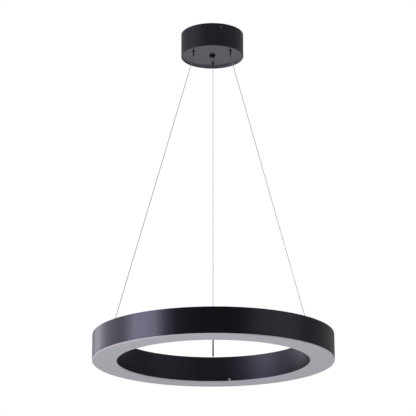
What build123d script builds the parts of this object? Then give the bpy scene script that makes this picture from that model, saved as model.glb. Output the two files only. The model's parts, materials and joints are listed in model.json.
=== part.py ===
from build123d import *
import os
from math import atan2, cos, degrees, pi, radians, sin, sqrt, tan

os.makedirs("parts", exist_ok=True)

# A ring pendant: a black canopy on the ceiling, three steel wires held by ball grippers in the
# canopy's plate, and a channel-section ring that shines downwards through an opal cover.
# Millimetres. z = 0 is the ceiling, +Z is up, the rear wire is on the +Y side.

# ---------------------------------------------------------------- driving dimensions
# Ring
RING_R = 300.0              # outside radius of the channel
SECTION_W = 61.0            # width of the channel's section
WALL_H = 63.5               # height of the channel's walls
CHANNEL_T = 2.0             # thickness of its walls and top
RING_DROP = 807.1           # ceiling to the top of the ring
LEDGE_W = 6.0               # ribs inside the walls that carry the tray
LEDGE_T = 3.0
LEDGE_UP = 24.0             # height of the ribs' undersides above the rim

# Canopy
CANOPY_R = 81.0
CANOPY_H = 62.0
CANOPY_T = 1.5              # wall of the cup
PLATE_T = 2.0               # the plate that closes it below
PLATE_RECESS = 5.4          # how far the plate sits up inside the rim
RIM_BEVEL = 0.5

# Bracket that is screwed to the ceiling, turned a little from the line of view
BRACKET_W = 20.0
BRACKET_T = 2.0
BRACKET_EYE_R = 6.0         # hole in the middle for the mains lead
EAR_H = 16.0
BRACKET_TURN = 106.5        # azimuth of one ear, the other is opposite
CEILING_PCD = 60.0          # the two round screw holes
CEILING_HOLE_R = 2.75
SLOT_R = 49.0               # the two slots further out
SLOT_LENGTH = 14.0
SIDE_SCREW_R = 2.0
SIDE_SCREW_DOWN = 9.8       # below the ceiling
SIDE_HEAD_R = 3.4
SIDE_HEAD_T = 2.0

# Wires and where they run
WIRE_R = 0.75
GRIPPER_EDGE = 25.7         # canopy's outside to the middle of a gripper
GRIPPER_AZIMUTHS = {"left": 208.3, "right": 328.3, "rear": 88.3}
ANCHOR_AZIMUTHS = {"left": 206.6, "right": 325.7, "rear": 90.2}
WIRE_TAIL = 8.0             # cut end above the gripper
WIRE_BEND_R = 12.0          # bend where the wire leaves the nozzle
WIRE_BEND_DOWN = 2.5        # the bend's corner below the nozzle's tip

# Ball gripper: a cone that narrows downwards, and a sprung nozzle that carries three balls
BALL_R = 1.0
BALL_TURNS = (30, 150, 270)
CONE_ANGLE = 8.0
NOZZLE_R = 1.8
NOZZLE_BORE_R = 0.95
NOZZLE_DOWN = 12.0          # tip below the plate
NOZZLE_TRAVEL = 2.2         # how far it can be pressed up
GRIPPER_R = 4.0             # threaded barrel
GRIPPER_FLANGE_R = 4.6
GRIPPER_FLANGE_T = 1.8
GRIPPER_UP = 16.0           # barrel above the plate's underside
GUIDE_UP = 1.0              # top of the nozzle's guide
BALLS_UP = 5.0              # centres of the balls
COLLAR_R = 2.6
COLLAR_UP = 7.2
COLLAR_T = 2.0
END_CAP_T = 1.0
SPRING_WIRE_R = 0.25
SPRING_TURNS = 3
SPRING_SPARE = 1.0          # gap left in the spring when the nozzle is fully up
GRIPPER_NUT_AF = 13.0
GRIPPER_NUT_T = 4.0

# Anchors on the ring: the wire's ball is caught between a stud and a screwed cap
ANCHOR_AF = 12.0            # both have six flats
ANCHOR_FLANGE_T = 1.5
ANCHOR_BOSS_R = 4.2
ANCHOR_BOSS_H = 1.5
ANCHOR_CUP_FLOOR = 0.5      # the ball sits in a cup in the stud
ANCHOR_MOUTH_R = 1.75
ANCHOR_LIP_T = 0.8
ANCHOR_STUD_R = 3.0
ANCHOR_STUD_DOWN = 10.0
ANCHOR_NUT_AF = 10.0
ANCHOR_NUT_T = 4.0
END_BALL_R = 2.0
SLEEVE_LENGTH = 70.0        # tapered sleeve round the foot of the rear wire
SLEEVE_FOOT_R = 2.05
SLEEVE_TOP_R = 1.6
SLEEVE_SIDES = 12

# Cord glands, in the middle of the canopy's plate and on top of the ring
GLAND_AF = 14.5
GLAND_FLANGE_T = 2.0
GLAND_THREAD_R = 5.0
GLAND_COLLAR_R = 5.5
GLAND_COLLAR_H = 2.0
GLAND_THREAD_UP = 5.0       # thread above the sheet
GLAND_LOCKNUT_T = 3.0
GLAND_BORE_R = 3.2
GLAND_CAP_R = 7.0
GLAND_CAP_H = 3.5
SEAL_UP = 4.0
GLAND_MOUTH_R = 2.4
SEAL_BORE_R = 2.0
INLET_TURN = 4.5            # the ring's inlet beside the rear anchor, in degrees

# Light source and cover
DIFFUSER_LIP = 2.4          # what shows below the channel's rim
DIFFUSER_FLOOR = 2.5
DIFFUSER_WALL_T = 2.5
DIFFUSER_WALL_H = 12.0
DIFFUSER_BEVEL = 0.8
DIFFUSER_SCREW_R = 1.5
DIFFUSER_SCREW_AZIMUTHS = (80.0, 200.0, 320.0)
DIFFUSER_SCREW_UP = 3.5
DIFFUSER_HEAD_R, DIFFUSER_HEAD_T = 2.7, 1.4
TRAY_T = 1.5
TRAY_SCREWS = 3
TRAY_SCREW_R = 1.5
TRAY_HEAD_R, TRAY_HEAD_T = 3.0, 1.6
BOARDS = 12                 # straight boards laid as a ring
BOARD_W = 24.0
BOARD_T = 1.2
BOARD_GAP = 3.0
CHIPS_PER_BOARD = 6
CHIP_L, CHIP_W, CHIP_T = 3.5, 2.8, 0.7
CONNECTOR_L, CONNECTOR_W, CONNECTOR_H = 20.0, 12.0, 9.0
CONNECTOR_POLES = 2
CONNECTOR_PITCH = 9.0
CONNECTOR_WELL_R, CONNECTOR_WELL_DEEP = 1.6, 4.0
CONNECTOR_TURN = 11.25      # from the rear anchor, in degrees

# Inside the canopy
DRIVER_L, DRIVER_W, DRIVER_H = 68.0, 28.0, 20.0
DRIVER_EDGE = 34.0          # canopy's outside to the middle of the driver
DRIVER_CORNER_R = 2.0
DRIVER_TAB_L, DRIVER_TAB_W, DRIVER_TAB_T = 8.0, 14.0, 2.0
DRIVER_BOSS_R, DRIVER_BOSS_H = 3.5, 4.0
DRIVER_SCREW_R = 1.5
DRIVER_HEAD_R, DRIVER_HEAD_T = 3.0, 1.6
TERMINAL_L, TERMINAL_W, TERMINAL_H = 30.0, 16.0, 13.0
TERMINAL_X, TERMINAL_Y = 34.0, 18.0
TERMINAL_STEP_W, TERMINAL_STEP_H = 9.0, 4.5
TERMINAL_POLES = 3
TERMINAL_WELL_R, TERMINAL_WELL_DEEP = 2.5, 4.0
TERMINAL_MOUTH_R, TERMINAL_MOUTH_DEEP, TERMINAL_MOUTH_UP = 2.0, 5.0, 4.0
EARTH_X, EARTH_Y = -34.0, 18.0
EARTH_R = 2.0
EARTH_UP = 10.0
EARTH_FOOT_R, EARTH_FOOT_T = 4.0, 1.0
EARTH_NUT_AF, EARTH_NUT_T = 7.0, 3.2

# Clearances
FIT = 0.05                  # turned pieces that slide or screw together, each side
SEAT = 0.3                  # pieces laid in a formed sheet, each side
HOLE = 0.2                  # screws and barrels through a sheet, each side
PLAY = 0.04                 # balls against wire and cone
PAST = 1.0                  # how far a cut runs past what it cuts
SIDES = 8                   # small screws, balls and their holes have flat sides

# ---------------------------------------------------------------- worked out from them
GRIPPER_PITCH_R = CANOPY_R - GRIPPER_EDGE
DRIVER_Y = DRIVER_EDGE - CANOPY_R
RING_INNER_R = RING_R - SECTION_W
RING_TOP = -RING_DROP
RIM_Z = RING_TOP - WALL_H
ANCHOR_PITCH_R = RING_R - SECTION_W / 2
CANOPY_INNER_R = CANOPY_R - CANOPY_T
PLATE_Z = -CANOPY_H + PLATE_RECESS          # underside of the plate
PLATE_TOP = PLATE_Z + PLATE_T
DRIVER_BASE = PLATE_TOP + DRIVER_BOSS_H
LEDGE_Z = RIM_Z + LEDGE_UP
TRAY_OUTER_R = RING_R - CHANNEL_T - SEAT
TRAY_INNER_R = RING_INNER_R + CHANNEL_T + SEAT
TRAY_BOTTOM = LEDGE_Z - TRAY_T
BOARD_BOTTOM = TRAY_BOTTOM - BOARD_T
BOARD_L = 2 * (ANCHOR_PITCH_R - BOARD_W / 2) * tan(pi / BOARDS) - BOARD_GAP

CONE_SLOPE = tan(radians(CONE_ANGLE))
BALL_PITCH_R = WIRE_R + PLAY + BALL_R
CONE_R_AT_BALLS = BALL_PITCH_R + (BALL_R + PLAY) / cos(radians(CONE_ANGLE))
NOZZLE_TIP = PLATE_Z - NOZZLE_DOWN
COLLAR_TOP = COLLAR_UP + COLLAR_T
CONE_TOP = COLLAR_TOP
BARREL_BORE_R = CONE_R_AT_BALLS + (CONE_TOP - BALLS_UP) * CONE_SLOPE
SPRING_SHUT = SPRING_TURNS * 2 * SPRING_WIRE_R
SPRING_SEAT = COLLAR_TOP + NOZZLE_TRAVEL + SPRING_SHUT + SPRING_SPARE
SPRING_R = COLLAR_R - SPRING_WIRE_R

BALL_CORNERS = cos(pi / 8) * sqrt(1.5)      # how far a flat-sided ball's corners reach
END_BALL_REACH = END_BALL_R * BALL_CORNERS
BALL_HEIGHT = ANCHOR_CUP_FLOOR + END_BALL_REACH + SEAT
LIP_UP = BALL_HEIGHT + sqrt(END_BALL_REACH ** 2 - ANCHOR_MOUTH_R ** 2) + FIT
CAP_UP = LIP_UP + ANCHOR_LIP_T


def spot(radius, azimuth, z=0.0):
    """A point on a circle round the object's axis."""
    return Vector(radius * cos(radians(azimuth)), radius * sin(radians(azimuth)), z)


def turned(*profile):
    """A solid turned about Z from a closed outline of (radius, height) pairs."""
    outline = Polyline(*[(r, 0, z) for r, z in profile], close=True)
    return revolve(make_face(outline), Axis.Z, 360)


def rod(radius, z0, z1):
    """An upright round bar between two heights."""
    return Pos(0, 0, z0) * extrude(Circle(radius), z1 - z0)


def bar(radius, z0, z1):
    """An upright bar with flat sides, its corners at the radius."""
    shape = RegularPolygon(radius, SIDES, rotation=180 / SIDES)
    return Pos(0, 0, z0) * extrude(shape, z1 - z0)


def hole(radius, z0, z1):
    """The cut for such a bar, its flat sides at the radius."""
    shape = RegularPolygon(radius, SIDES, major_radius=False, rotation=180 / SIDES)
    return Pos(0, 0, z0) * extrude(shape, z1 - z0)


def ball(radius):
    """A ball with eighteen flat faces, light enough to be repeated: three crossed octagons."""
    octagon = RegularPolygon(radius, 8, rotation=22.5)
    upright = extrude(octagon, radius, both=True)
    return upright & Rot(90, 0, 0) * upright & Rot(0, 90, 0) * upright


def hexagon(across_flats, z0, z1):
    """An upright six-sided bar between two heights."""
    shape = RegularPolygon(across_flats / 2, 6, major_radius=False)
    return Pos(0, 0, z0) * extrude(shape, z1 - z0)


def block(length, width, z0, z1):
    """An upright rectangular bar between two heights."""
    return Pos(0, 0, z0) * extrude(Rectangle(length, width), z1 - z0)


def group(solids):
    """Several identical pieces kept as separate solids."""
    return Compound(children=[s if isinstance(s, Solid) else s.solid() for s in solids])


# ---------------------------------------------------------------- canopy
def side_screw_places():
    """Where the two screws pass through the canopy's side, looking inwards."""
    for azimuth in (BRACKET_TURN, BRACKET_TURN + 180):
        yield Plane(spot(CANOPY_R, azimuth, -SIDE_SCREW_DOWN), z_dir=spot(1, azimuth))


def driver_screw_places():
    reach = DRIVER_L / 2 + DRIVER_TAB_L / 2
    return [Pos(side * reach, DRIVER_Y, 0) for side in (-1, 1)]


def gripper_places():
    return {n: Pos(spot(GRIPPER_PITCH_R, a, PLATE_Z)) for n, a in GRIPPER_AZIMUTHS.items()}


def canopy_shell():
    r, inner = CANOPY_R, CANOPY_INNER_R
    cup = turned((0, PLATE_Z), (inner, PLATE_Z), (inner, -CANOPY_H),
                 (r - RIM_BEVEL, -CANOPY_H), (r, -CANOPY_H + RIM_BEVEL), (r, 0),
                 (inner, 0), (inner, PLATE_TOP), (0, PLATE_TOP))
    cup -= hole(GLAND_THREAD_R + HOLE, PLATE_Z - PAST, PLATE_TOP + PAST)
    for place in gripper_places().values():
        cup -= place * rod(GRIPPER_R + HOLE, -PAST, PLATE_T + PAST)
    for place in side_screw_places():
        cup -= place * hole(SIDE_SCREW_R + HOLE, -2 * CANOPY_T, CANOPY_T)
    boss = bar(DRIVER_BOSS_R, PLATE_TOP, DRIVER_BASE) - hole(DRIVER_SCREW_R + FIT, PLATE_TOP, 0)
    for place in driver_screw_places():
        cup += place * boss
    return cup


def ear_distance():
    """Middle of the canopy to an ear's outer face: the ear's corners clear the cup."""
    return sqrt((CANOPY_INNER_R - SEAT) ** 2 - (BRACKET_W / 2) ** 2)


def ceiling_bracket():
    """A flat bar with its ends turned down, drawn along X and then turned to its place."""
    reach, bend = ear_distance(), BRACKET_T
    outer = block(2 * reach, BRACKET_W, -EAR_H, 0)
    outer = fillet(outer.edges().filter_by(Axis.Y).group_by(Axis.Z)[-1], bend * 1.5)
    inner = block(2 * (reach - BRACKET_T), BRACKET_W + PAST, -EAR_H - PAST, -BRACKET_T)
    inner = fillet(inner.edges().filter_by(Axis.Y).group_by(Axis.Z)[-1], bend / 2)
    strap = outer - inner
    ear_hole = Rot(0, 90, 0) * hole(SIDE_SCREW_R + FIT, -reach - PAST, reach + PAST)
    strap -= Pos(0, 0, -SIDE_SCREW_DOWN) * ear_hole
    strap -= rod(BRACKET_EYE_R, -BRACKET_T - PAST, PAST)
    slot = extrude(SlotOverall(SLOT_LENGTH, 2 * CEILING_HOLE_R), BRACKET_T + 2 * PAST)
    for side in (-1, 1):
        strap -= Pos(side * CEILING_PCD / 2, 0, 0) * rod(CEILING_HOLE_R, -BRACKET_T - PAST, PAST)
        strap -= Pos(side * SLOT_R, 0, -BRACKET_T - PAST) * slot
    return Rot(0, 0, BRACKET_TURN) * strap


def screw(radius, length, head_r, head_t):
    """A small screw kept plain: head outwards along +Z from 0, shank inwards."""
    return bar(head_r, 0, head_t) + bar(radius, -length, 0)


def canopy_side_screws():
    length = CANOPY_R - ear_distance() + 2 * BRACKET_T
    piece = screw(SIDE_SCREW_R, length, SIDE_HEAD_R, SIDE_HEAD_T)
    return group([place * Pos(0, 0, FIT) * piece for place in side_screw_places()])


# ---------------------------------------------------------------- inside the canopy
def led_driver():
    """A closed case with a screw tab at each end, standing on the plate's two bosses."""
    case = block(DRIVER_L, DRIVER_W, DRIVER_BASE, DRIVER_BASE + DRIVER_H)
    case = fillet(case.edges().filter_by(Axis.Z), DRIVER_CORNER_R)
    ends = DRIVER_L + 2 * DRIVER_TAB_L
    tabs = block(ends, DRIVER_TAB_W, DRIVER_BASE, DRIVER_BASE + DRIVER_TAB_T)
    body = Pos(0, DRIVER_Y, 0) * (case + tabs)
    for place in driver_screw_places():
        body -= place * hole(DRIVER_SCREW_R + HOLE, DRIVER_BASE - PAST, 0)
    return body


def driver_screws():
    length = DRIVER_TAB_T + DRIVER_BOSS_H - SEAT
    piece = screw(DRIVER_SCREW_R, length, DRIVER_HEAD_R, DRIVER_HEAD_T)
    top = DRIVER_BASE + DRIVER_TAB_T + FIT
    return group([place * Pos(0, 0, top) * piece for place in driver_screw_places()])


def terminal_block():
    """A three-pole mains terminal: a stepped body with wire mouths and screw wells."""
    top = PLATE_TOP + TERMINAL_H
    body = block(TERMINAL_L, TERMINAL_W, PLATE_TOP, top - TERMINAL_STEP_H)
    body += block(TERMINAL_L, TERMINAL_STEP_W, PLATE_TOP, top)
    pitch = TERMINAL_L / TERMINAL_POLES
    for i in range(TERMINAL_POLES):
        x = (i - (TERMINAL_POLES - 1) / 2) * pitch
        body -= Pos(x, 0, 0) * hole(TERMINAL_WELL_R, top - TERMINAL_WELL_DEEP, top + PAST)
        mouth = Rot(90, 0, 0) * hole(TERMINAL_MOUTH_R, -TERMINAL_MOUTH_DEEP, PAST)
        for turn in (0, 180):
            side = Rot(0, 0, turn) * Pos(0, -TERMINAL_W / 2, PLATE_TOP + TERMINAL_MOUTH_UP)
            body -= Pos(x, 0, 0) * side * mouth
    return Pos(TERMINAL_X, TERMINAL_Y, 0) * Rot(0, 0, 90) * body


def earth_terminal():
    """A stud welded inside the plate, with its nut, for the earth lead."""
    place, foot = Pos(EARTH_X, EARTH_Y, PLATE_TOP), EARTH_FOOT_T
    stud = bar(EARTH_FOOT_R, 0, foot) + bar(EARTH_R, foot, EARTH_UP)
    nut = hexagon(EARTH_NUT_AF, foot, foot + EARTH_NUT_T) - hole(EARTH_R + FIT, 0, EARTH_UP)
    return group([place * stud, place * nut])


# ---------------------------------------------------------------- cord glands
def gland_body(sheet):
    """Outer end down: flange under the sheet, thread through it, collar for the cap."""
    low, top = -GLAND_FLANGE_T, sheet + GLAND_LOCKNUT_T + GLAND_THREAD_UP
    body = hexagon(GLAND_AF, low, 0) + bar(GLAND_THREAD_R, 0, top)
    body += bar(GLAND_COLLAR_R, low - GLAND_COLLAR_H, low)
    return body - hole(GLAND_BORE_R, low - GLAND_COLLAR_H - PAST, top + PAST)


def gland_cap():
    """A round nut with the cord's mouth in its end and a well for the body's collar."""
    top, low = -GLAND_FLANGE_T, -GLAND_FLANGE_T - GLAND_CAP_H
    cap = rod(GLAND_CAP_R, low, top) - hole(GLAND_MOUTH_R, low - PAST, top)
    return cap - hole(GLAND_COLLAR_R + FIT, top - GLAND_COLLAR_H - FIT, top + PAST)


def gland_seal():
    low = -GLAND_FLANGE_T - GLAND_COLLAR_H
    ring = bar(GLAND_BORE_R - FIT, low, low + SEAL_UP)
    return ring - hole(SEAL_BORE_R, low - PAST, low + SEAL_UP + PAST)


def gland_locknut(sheet):
    nut = hexagon(GLAND_AF, sheet, sheet + GLAND_LOCKNUT_T)
    return nut - hole(GLAND_THREAD_R + FIT, 0, sheet + GLAND_LOCKNUT_T + PAST)


def in_canopy(piece):
    return Pos(0, 0, PLATE_Z) * piece


def on_ring(piece):
    """The same gland upside down on top of the ring, beside the rear anchor."""
    azimuth = ANCHOR_AZIMUTHS["rear"] + INLET_TURN
    return Pos(spot(ANCHOR_PITCH_R, azimuth, RING_TOP)) * Rot(180, 0, 0) * piece


# ---------------------------------------------------------------- ball grippers
def cone_r(height):
    """Radius of the gripper's cone at a height above the plate's underside."""
    return CONE_R_AT_BALLS + (height - BALLS_UP) * CONE_SLOPE


def gripper_body():
    """Flange, threaded barrel, and inside it the guide, the cone and the spring's room."""
    guide, foot = NOZZLE_R + 2 * FIT, -GRIPPER_FLANGE_T
    return turned((guide, foot), (GRIPPER_FLANGE_R, foot), (GRIPPER_FLANGE_R, 0),
                  (GRIPPER_R, 0), (GRIPPER_R, GRIPPER_UP), (BARREL_BORE_R, GRIPPER_UP),
                  (BARREL_BORE_R, CONE_TOP), (cone_r(GUIDE_UP), GUIDE_UP), (guide, GUIDE_UP))


def gripper_nut():
    nut = hexagon(GRIPPER_NUT_AF, PLATE_T, PLATE_T + GRIPPER_NUT_T)
    return nut - hole(GRIPPER_R + FIT, 0, PLATE_T + GRIPPER_NUT_T + PAST)


def gripper_end_cap():
    """Screwed into the barrel: the spring's upper seat, with a hole for the wire."""
    top, low = GRIPPER_UP + END_CAP_T, SPRING_SEAT
    cap = bar(BARREL_BORE_R - FIT, low, GRIPPER_UP) + bar(GRIPPER_R, GRIPPER_UP, top)
    return cap - hole(NOZZLE_BORE_R, low - PAST, top + PAST)


def gripper_plunger():
    """Nozzle, ball cage and collar in one turned piece, with a window for each ball."""
    body = rod(NOZZLE_R, -NOZZLE_DOWN, COLLAR_UP) + rod(COLLAR_R, COLLAR_UP, COLLAR_TOP)
    body -= rod(NOZZLE_BORE_R, -NOZZLE_DOWN - PAST, COLLAR_TOP + PAST)
    window = Rot(0, 90, 0) * hole(BALL_R + PLAY, 0, COLLAR_R + PAST)
    for turn in BALL_TURNS:
        body -= Pos(0, 0, BALLS_UP) * Rot(0, 0, turn) * window
    return body


def clamp_balls():
    one = Pos(BALL_PITCH_R, 0, BALLS_UP) * ball(BALL_R)
    return group([Rot(0, 0, turn) * one for turn in BALL_TURNS])


def gripper_spring():
    """A coil between the plunger's collar and the end cap."""
    low, high = COLLAR_TOP + SPRING_WIRE_R + FIT, SPRING_SEAT - SPRING_WIRE_R - FIT
    mean = SPRING_R - SPRING_WIRE_R
    path = Pos(0, 0, low) * Helix((high - low) / SPRING_TURNS, high - low, mean)
    start = Plane(path @ 0, z_dir=path % 0)
    return sweep(start * RegularPolygon(SPRING_WIRE_R, 4), path, is_frenet=True)


# ---------------------------------------------------------------- wires and anchors
def bend_point(name):
    return spot(GRIPPER_PITCH_R, GRIPPER_AZIMUTHS[name], NOZZLE_TIP - WIRE_BEND_DOWN)


def ball_point(name):
    return spot(ANCHOR_PITCH_R, ANCHOR_AZIMUTHS[name], RING_TOP + BALL_HEIGHT)


def wire_direction(name):
    """Unit vector from the ring's anchor up along the wire."""
    return (bend_point(name) - ball_point(name)).normalized()


def suspension_wire(name):
    """Up from the ball in the anchor, over the nozzle's mouth and through the gripper."""
    tail = PLATE_Z + GRIPPER_UP + END_CAP_T + WIRE_TAIL
    top = spot(GRIPPER_PITCH_R, GRIPPER_AZIMUTHS[name], tail)
    low = ball_point(name) - wire_direction(name) * END_BALL_R
    path = FilletPolyline(top, bend_point(name), low, radius=WIRE_BEND_R)
    section = Circle(WIRE_R)
    wire = sweep(Plane(top, z_dir=(0, 0, -1)) * section, path)
    turn = Vector(0, 0, 1).get_angle(wire_direction(name))
    print(f"wire {name}: length {path.length:.1f}, bend {turn:.1f} degrees on radius "
          f"{WIRE_BEND_R}, volume {wire.volume:.1f} of {section.area * path.length:.1f}")
    return wire


def wire_end_balls():
    """Each is drawn upright, bored for the wire and then leant along it."""
    bored = ball(END_BALL_R) - hole(WIRE_R + FIT, -2 * END_BALL_R, 2 * END_BALL_R)
    return group([Plane(ball_point(name), z_dir=wire_direction(name)) * bored
                  for name in ANCHOR_AZIMUTHS])


def rear_wire_sleeve():
    """A tapered sleeve that stands on the rear anchor and follows the wire up."""
    up = wire_direction("rear")
    lean = sqrt(1 - up.Z ** 2)
    start = (CAP_UP - BALL_HEIGHT + SLEEVE_FOOT_R * lean + SEAT) / up.Z
    narrowing = degrees(atan2(SLEEVE_FOOT_R - SLEEVE_TOP_R, SLEEVE_LENGTH))
    foot = RegularPolygon(SLEEVE_FOOT_R, SLEEVE_SIDES)
    bore = RegularPolygon(WIRE_R + 2 * FIT, SLEEVE_SIDES, major_radius=False)
    sleeve = extrude(foot, SLEEVE_LENGTH, taper=narrowing) - extrude(bore, SLEEVE_LENGTH)
    return Plane(ball_point("rear") + up * start, z_dir=up) * sleeve


def anchor_places():
    return [Pos(spot(ANCHOR_PITCH_R, a, RING_TOP)) for a in ANCHOR_AZIMUTHS.values()]


def anchor_stud():
    """Thread below the sheet, flange on it, and a boss for the cap with a cup for the ball."""
    top = ANCHOR_FLANGE_T + ANCHOR_BOSS_H
    stud = bar(ANCHOR_STUD_R, -ANCHOR_STUD_DOWN, 0)
    stud += hexagon(ANCHOR_AF, 0, ANCHOR_FLANGE_T) + bar(ANCHOR_BOSS_R, ANCHOR_FLANGE_T, top)
    return stud - hole(END_BALL_REACH + SEAT, ANCHOR_CUP_FLOOR, top + PAST)


def anchor_cap():
    """Screws on the stud's boss. The ball is caught under its lip, round the mouth."""
    cap = hexagon(ANCHOR_AF, ANCHOR_FLANGE_T, CAP_UP)
    cap -= hole(ANCHOR_BOSS_R + FIT, ANCHOR_FLANGE_T - PAST, LIP_UP)
    return cap - hole(ANCHOR_MOUTH_R, LIP_UP - PAST, CAP_UP + PAST)


def anchor_nut():
    top = -CHANNEL_T
    nut = hexagon(ANCHOR_NUT_AF, top - ANCHOR_NUT_T, top)
    return nut - hole(ANCHOR_STUD_R + FIT, top - ANCHOR_NUT_T - PAST, top + PAST)


# ---------------------------------------------------------------- ring
def diffuser_screw_places():
    """On the ring's inner wall, looking at the ring's axis."""
    for azimuth in DIFFUSER_SCREW_AZIMUTHS:
        at = spot(RING_INNER_R, azimuth, RIM_Z + DIFFUSER_SCREW_UP)
        yield Plane(at, z_dir=spot(-1, azimuth))


def tray_screw_places():
    """Alternately under the outer and the inner ledge."""
    for i in range(TRAY_SCREWS):
        outer = RING_R - CHANNEL_T - LEDGE_W / 2
        inner = RING_INNER_R + CHANNEL_T + LEDGE_W / 2
        yield Pos(spot((outer, inner)[i % 2], (i + 0.5) * 360 / TRAY_SCREWS, TRAY_BOTTOM))


def ring_housing():
    """A channel open downwards, with a ledge on each wall for the tray."""
    t, ro, ri = CHANNEL_T, RING_R, RING_INNER_R
    low, high = LEDGE_Z, LEDGE_Z + LEDGE_T
    channel = turned((ri, RIM_Z), (ri, RING_TOP), (ro, RING_TOP), (ro, RIM_Z), (ro - t, RIM_Z),
                     (ro - t, low), (ro - t - LEDGE_W, low), (ro - t - LEDGE_W, high),
                     (ro - t, high), (ro - t, RING_TOP - t), (ri + t, RING_TOP - t),
                     (ri + t, high), (ri + t + LEDGE_W, high), (ri + t + LEDGE_W, low),
                     (ri + t, low), (ri + t, RIM_Z))
    for place in anchor_places():
        channel -= place * hole(ANCHOR_STUD_R + HOLE, -t - PAST, PAST)
    channel -= on_ring(hole(GLAND_THREAD_R + HOLE, -PAST, t + PAST))
    for place in diffuser_screw_places():
        channel -= place * hole(DIFFUSER_SCREW_R + HOLE, -t - PAST, PAST)
    for place in tray_screw_places():
        channel -= place * hole(TRAY_SCREW_R + FIT, 0, TRAY_T + LEDGE_T + PAST)
    return channel


def led_tray():
    tray = rod(TRAY_OUTER_R, TRAY_BOTTOM, LEDGE_Z) - rod(TRAY_INNER_R, TRAY_BOTTOM - PAST, 0)
    for place in tray_screw_places():
        tray -= place * hole(TRAY_SCREW_R + HOLE, -PAST, TRAY_T + PAST)
    return tray


def tray_screws():
    upright = screw(TRAY_SCREW_R, TRAY_T + LEDGE_T, TRAY_HEAD_R, TRAY_HEAD_T)
    piece = Rot(180, 0, 0) * upright
    return group([place * Pos(0, 0, -FIT) * piece for place in tray_screw_places()])


def board_places():
    return [Rot(0, 0, i * 360 / BOARDS) for i in range(BOARDS)]


def led_boards():
    """Straight boards end to end on the underside of the tray."""
    board = Pos(ANCHOR_PITCH_R, 0, 0) * block(BOARD_W, BOARD_L, BOARD_BOTTOM, TRAY_BOTTOM)
    return group([place * board for place in board_places()])


def led_chips():
    chip = block(CHIP_W, CHIP_L, BOARD_BOTTOM - CHIP_T, BOARD_BOTTOM)
    pitch = BOARD_L / CHIPS_PER_BOARD
    along = [(i + 0.5) * pitch - BOARD_L / 2 for i in range(CHIPS_PER_BOARD)]
    return group([place * Pos(ANCHOR_PITCH_R, y, 0) * chip
                  for place in board_places() for y in along])


def diffuser():
    """A shallow opal trough: its floor laps under the rim, its walls stand in the channel."""
    ro, ri = RING_R - SEAT, RING_INNER_R + SEAT
    wall_o, wall_i = TRAY_OUTER_R, TRAY_INNER_R
    low, top = RIM_Z - DIFFUSER_LIP, RIM_Z + DIFFUSER_WALL_H
    floor = low + DIFFUSER_FLOOR
    bevel = DIFFUSER_BEVEL
    trough = turned((ri, low + bevel), (ri + bevel, low), (ro - bevel, low), (ro, low + bevel),
                    (ro, RIM_Z), (wall_o, RIM_Z), (wall_o, top),
                    (wall_o - DIFFUSER_WALL_T, top), (wall_o - DIFFUSER_WALL_T, floor),
                    (wall_i + DIFFUSER_WALL_T, floor), (wall_i + DIFFUSER_WALL_T, top),
                    (wall_i, top), (wall_i, RIM_Z), (ri, RIM_Z))
    deep = CHANNEL_T + SEAT + DIFFUSER_WALL_T + PAST
    for place in diffuser_screw_places():
        trough -= place * hole(DIFFUSER_SCREW_R + FIT, -deep, 0)
    return trough


def diffuser_screws():
    length = CHANNEL_T + SEAT + DIFFUSER_WALL_T
    piece = screw(DIFFUSER_SCREW_R, length, DIFFUSER_HEAD_R, DIFFUSER_HEAD_T)
    return group([place * Pos(0, 0, FIT) * piece for place in diffuser_screw_places()])


def led_connector():
    """The plug-in terminal between the supply and the boards, on top of the tray."""
    top = LEDGE_Z + CONNECTOR_H
    body = block(CONNECTOR_L, CONNECTOR_W, LEDGE_Z, top)
    for i in range(CONNECTOR_POLES):
        x = (i - (CONNECTOR_POLES - 1) / 2) * CONNECTOR_PITCH
        body -= Pos(x, 0, 0) * hole(CONNECTOR_WELL_R, top - CONNECTOR_WELL_DEEP, top + PAST)
    azimuth = ANCHOR_AZIMUTHS["rear"] + CONNECTOR_TURN
    return Pos(spot(ANCHOR_PITCH_R, azimuth)) * Rot(0, 0, azimuth - 90) * body


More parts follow.
